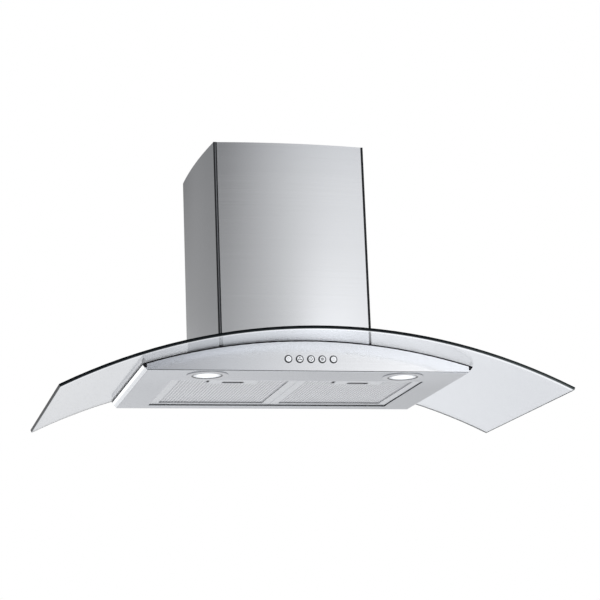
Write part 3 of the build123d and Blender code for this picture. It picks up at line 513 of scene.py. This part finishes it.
def weave(verts, faces, x0, x1, y0, y1, z0, z1, hole=None):
    """Stretched lattice of zigzag strands between x0..x1, y0..y1, leaving out a hole (x0, x1, y1)."""
    cols = int(round((x1 - x0) / PITCH))
    px = (x1 - x0) / cols
    w = px * 0.42
    rows = int(round((y1 - y0) / (LONG / 2)))
    py = (y1 - y0) / rows
    amp = px * 0.13
    for c_ in range(cols):
        xc = x0 + (c_ + 0.5) * px
        sign = 1 if c_ % 2 else -1
        path = []
        for r_ in range(rows + 1):
            y = y0 + r_ * py
            x = xc + (amp if r_ % 2 else -amp) * sign
            x = min(max(x, x0 + w / 2), x1 - w / 2)
            if hole and hole[0] < x < hole[1] and y < hole[2]:
                if len(path) > 1:
                    ribbon(verts, faces, path, w, z0, z1)
                path = []
                continue
            # a short flat bond where two strands meet
            path.append((x, y - py * 0.13))
            path.append((x, y + py * 0.13))
        path = [(x, min(max(y, y0), y1)) for x, y in path]
        if len(path) > 1:
            ribbon(verts, faces, path, w, z0, z1)


def slab(verts, faces, x0, x1, y0, y1, z0, z1):
    k = len(verts)
    verts += [(x, y, z) for z in (z0, z1) for x, y in ((x0, y0), (x1, y0), (x1, y1), (x0, y1))]
    faces += [(k + 3, k + 2, k + 1, k), (k + 4, k + 5, k + 6, k + 7)]
    for j in range(4):
        faces.append((k + j, k + (j + 1) % 4, k + 4 + (j + 1) % 4, k + 4 + j))


for side, sx in (("left", -1), ("right", 1)):
    lo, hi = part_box(f"filter_mesh_{side}")
    fl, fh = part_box(f"filter_latch_{side}")
    cx = (fl.x + fh.x) / 2
    hole = (cx - 0.0465, cx + 0.0465, -0.2435)
    x0, x1, y0, y1 = lo.x + 0.0002, hi.x - 0.0002, lo.y + 0.0002, hi.y - 0.0002
    v, f = [], []
    weave(v, f, x0, x1, y0, y1, lo.z, lo.z + 0.00055, hole=hole)
    weave(v, f, x0, x1, y0, y1, hi.z - 0.00055, hi.z)
    strands = new_mesh(f"filter_strands_{side}", v, f, [M["alu_mesh"]])
    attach(strands, f"filter_{side}")
    v, f = [], []
    slab(v, f, x0, x1, hole[2] + 0.0005, y1, lo.z + 0.0006, lo.z + 0.0012)
    slab(v, f, x0, hole[0] - 0.0002, y0, hole[2], lo.z + 0.0006, lo.z + 0.0012)
    slab(v, f, hole[1] + 0.0002, x1, y0, hole[2], lo.z + 0.0006, lo.z + 0.0012)
    slab(v, f, x0, x1, y0, y1, hi.z - 0.0012, hi.z - 0.0006)
    packm = new_mesh(f"filter_pack_{side}", v, f, [M["alu_pad"]])
    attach(packm, f"filter_{side}")
    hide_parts(f"filter_mesh_{side}")


# ------------------------------------------------------------------ symbols on the buttons
def flat_shape(name, rings, y, depth, mat):
    """Thin raised shapes facing -y from closed (x, z) outlines; each outline is convex."""
    verts, faces = [], []
    for ring in rings:
        k, n = len(verts), len(ring)
        verts += [(x, y, z) for x, z in ring] + [(x, y - depth, z) for x, z in ring]
        faces.append(tuple(range(k, k + n)))
        faces.append(tuple(reversed(range(k + n, k + 2 * n))))
        for j in range(n):
            faces.append((k + j, k + n + j, k + n + (j + 1) % n, k + (j + 1) % n))
    return new_mesh(name, verts, faces, [mat])


def ellipse(cx, cz, a_, b_, turn=0.0, n=20):
    t = math.radians(turn)
    out = []
    for i in range(n):
        q = 2 * math.pi * i / n
        x, z_ = a_ * math.cos(q), b_ * math.sin(q)
        out.append((cx + x * math.cos(t) - z_ * math.sin(t), cz + x * math.sin(t) + z_ * math.cos(t)))
    return out


def arc_band(cx, cz, r, w, t0, t1, n=14):
    """Band along an arc as short convex quads."""
    out = []
    for i in range(n):
        q0 = math.radians(t0 + (t1 - t0) * i / n)
        q1 = math.radians(t0 + (t1 - t0) * (i + 1) / n)
        out.append([(cx + (r - w / 2) * math.cos(q0), cz + (r - w / 2) * math.sin(q0)),
                    (cx + (r + w / 2) * math.cos(q0), cz + (r + w / 2) * math.sin(q0)),
                    (cx + (r + w / 2) * math.cos(q1), cz + (r + w / 2) * math.sin(q1)),
                    (cx + (r - w / 2) * math.cos(q1), cz + (r - w / 2) * math.sin(q1))])
    return out


MM = 0.001
for i in range(1, 6):
    lo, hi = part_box(f"button_{i}")
    cx, cz, y = (lo.x + hi.x) / 2, (lo.z + hi.z) / 2, lo.y
    rings = []
    mat = M["ink"]
    if i == 1:
        rings = arc_band(cx, cz + 0.5 * MM, 1.7 * MM, 0.45 * MM, -50, 230)
        rings.append(ellipse(cx, cz - 1.75 * MM, 0.8 * MM, 0.28 * MM))
        rings.append(ellipse(cx, cz - 2.45 * MM, 0.6 * MM, 0.24 * MM))
        mat = M["ink_grey"]
    elif i in (2, 3, 4):
        blades, far, long_, wide_ = {2: (3, 2.25, 1.5, 1.15), 3: (4, 2.4, 1.25, 1.0), 4: (6, 2.2, 1.5, 0.52)}[i]
        for k_ in range(blades):
            q = 90 + 360 / blades * k_
            qx, qz = math.cos(math.radians(q)), math.sin(math.radians(q))
            rings.append(ellipse(cx + qx * far * MM, cz + qz * far * MM, long_ * MM, wide_ * MM,
                                 q + (52 if i == 4 else 30)))
        if i == 4:
            rings.append(ellipse(cx, cz, 0.9 * MM, 0.9 * MM))
        if i == 3:
            mat = M["ink_grey"]
    else:
        rings = arc_band(cx, cz, 1.8 * MM, 0.35 * MM, -240, 60)
        rings.append([(cx - 0.17 * MM, cz + 0.6 * MM), (cx + 0.17 * MM, cz + 0.6 * MM),
                      (cx + 0.17 * MM, cz + 2.5 * MM), (cx - 0.17 * MM, cz + 2.5 * MM)])
        mat = M["ink_grey"]
    sym = flat_shape(f"button_symbol_{i}", rings, y + 0.03 * MM, 0.08 * MM, mat)
    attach(sym, f"button_{i}")

# ------------------------------------------------------------------ floor, light and surroundings
bm = bmesh.new()
bmesh.ops.create_grid(bm, x_segments=8, y_segments=8, size=9.0)
fme = bpy.data.meshes.new("floor")
bm.to_mesh(fme)
bm.free()
floor = bpy.data.objects.new("floor", fme)
bpy.context.scene.collection.objects.link(floor)
floor.location = (0, 0, -1.75)
fm = Mat("floor_pale", (0.86, 0.86, 0.87), 0.0, 0.8)
varied(fm, (0.86, 0.86, 0.87), 0.01, 2.0)
fme.materials.append(fm.m)

world = bpy.data.worlds.new("studio")
sc.world = world
world.use_nodes = True
wt = world.node_tree
wt.nodes.clear()
out = wt.nodes.new("ShaderNodeOutputWorld")
tc = wt.nodes.new("ShaderNodeTexCoord")
sep = wt.nodes.new("ShaderNodeSeparateXYZ")
wt.links.new(tc.outputs["Generated"], sep.inputs[0])


def w_ramp(fac, stops):
    n = wt.nodes.new("ShaderNodeValToRGB")
    el = n.color_ramp.elements
    while len(el) < len(stops):
        el.new(0.5)
    for e_, (pos, val) in zip(el, stops):
        e_.position = pos
        e_.color = (val * 0.993, val, val * 1.012, 1)
    wt.links.new(fac, n.inputs["Fac"])
    return n.outputs["Color"]


def w_map(fac, a_, b_):
    n = wt.nodes.new("ShaderNodeMapRange")
    n.inputs["From Min"].default_value = a_
    n.inputs["From Max"].default_value = b_
    wt.links.new(fac, n.inputs["Value"])
    return n.outputs["Result"]


# radiance by direction for everything but the camera: darker to the left, bright to the right
xs = w_map(sep.outputs[0], -1.0, 1.0)
high_ramp = w_ramp(xs, [(0.0, 0.36), (0.33, 0.29), (0.38, 0.33), (0.46, 0.20), (0.49, 0.25), (0.52, 0.38), (0.552, 0.52),
                        (0.583, 0.65), (0.614, 0.75), (0.645, 0.82), (0.676, 0.88), (0.704, 0.93), (0.74, 0.95),
                        (1.0, 0.8)])
mid_ramp = w_ramp(xs, [(0.0, 0.42), (0.33, 0.36), (0.45, 0.41), (0.49, 0.48), (0.52, 0.58), (0.552, 0.67),
                       (0.583, 0.75), (0.614, 0.85), (0.645, 0.95), (0.676, 1.05), (0.74, 1.10), (1.0, 0.85)])
fascia_ramp = w_ramp(xs, [(0.0, 0.42), (0.45, 0.50), (0.57, 0.70), (0.60, 0.86), (0.62, 1.10), (0.64, 1.45),
                          (0.66, 1.80), (0.70, 1.70), (0.78, 1.1), (1.0, 0.85)])
low_ramp = w_ramp(xs, [(0.0, 1.5), (0.49, 1.5), (0.54, 0.82), (0.7, 0.74), (1.0, 0.74)])
low_front = w_ramp(xs, [(0.0, 0.72), (1.0, 0.74)])
front_ramp = w_ramp(xs, [(0.0, 0.6), (0.57, 0.64), (0.60, 0.84), (0.62, 1.12), (0.64, 1.60), (0.67, 2.10), (1.0, 1.9)])
zs = sep.outputs[2]


def w_mix(fac, a_, b_):
    n = wt.nodes.new("ShaderNodeMix")
    n.data_type = "RGBA"
    wt.links.new(fac, n.inputs[0])
    for k_, v_ in ((6, a_), (7, b_)):
        if hasattr(v_, "__len__"):
            n.inputs[k_].default_value = (*v_, 1)
        else:
            wt.links.new(v_, n.inputs[k_])
    return n.outputs[2]


upper = w_mix(w_map(zs, 0.20, 0.29), mid_ramp, high_ramp)
upper = w_mix(w_map(zs, 0.19, 0.215), fascia_ramp, upper)
upper = w_mix(w_map(zs, 0.42, 0.56), upper, (0.85, 0.855, 0.87))
lower = w_mix(w_map(sep.outputs[1], 0.5, 0.8), low_front, low_ramp)
field = w_mix(w_map(zs, 0.02, -0.05), upper, lower)
lp = wt.nodes.new("ShaderNodeLightPath")
bg_cam = wt.nodes.new("ShaderNodeBackground")
bg_cam.inputs["Color"].default_value = (1, 1, 1, 1)
bg_trans = wt.nodes.new("ShaderNodeBackground")
back_ramp = w_ramp(xs, [(0.0, 0.64), (0.55, 0.66), (0.60, 0.74), (0.65, 0.88), (0.68, 0.78), (1.0, 0.74)])
through = w_mix(w_map(sep.outputs[1], 0.1, -0.1), back_ramp, front_ramp)
wt.links.new(through, bg_trans.inputs["Color"])
bg_rest = wt.nodes.new("ShaderNodeBackground")
wt.links.new(field, bg_rest.inputs["Color"])
m1 = wt.nodes.new("ShaderNodeMixShader")
m2 = wt.nodes.new("ShaderNodeMixShader")
wt.links.new(lp.outputs["Is Transmission Ray"], m1.inputs[0])
wt.links.new(bg_rest.outputs[0], m1.inputs[1])
wt.links.new(bg_trans.outputs[0], m1.inputs[2])
wt.links.new(lp.outputs["Is Camera Ray"], m2.inputs[0])
wt.links.new(m1.outputs[0], m2.inputs[1])
wt.links.new(bg_cam.outputs[0], m2.inputs[2])
wt.links.new(m2.outputs[0], out.inputs["Surface"])
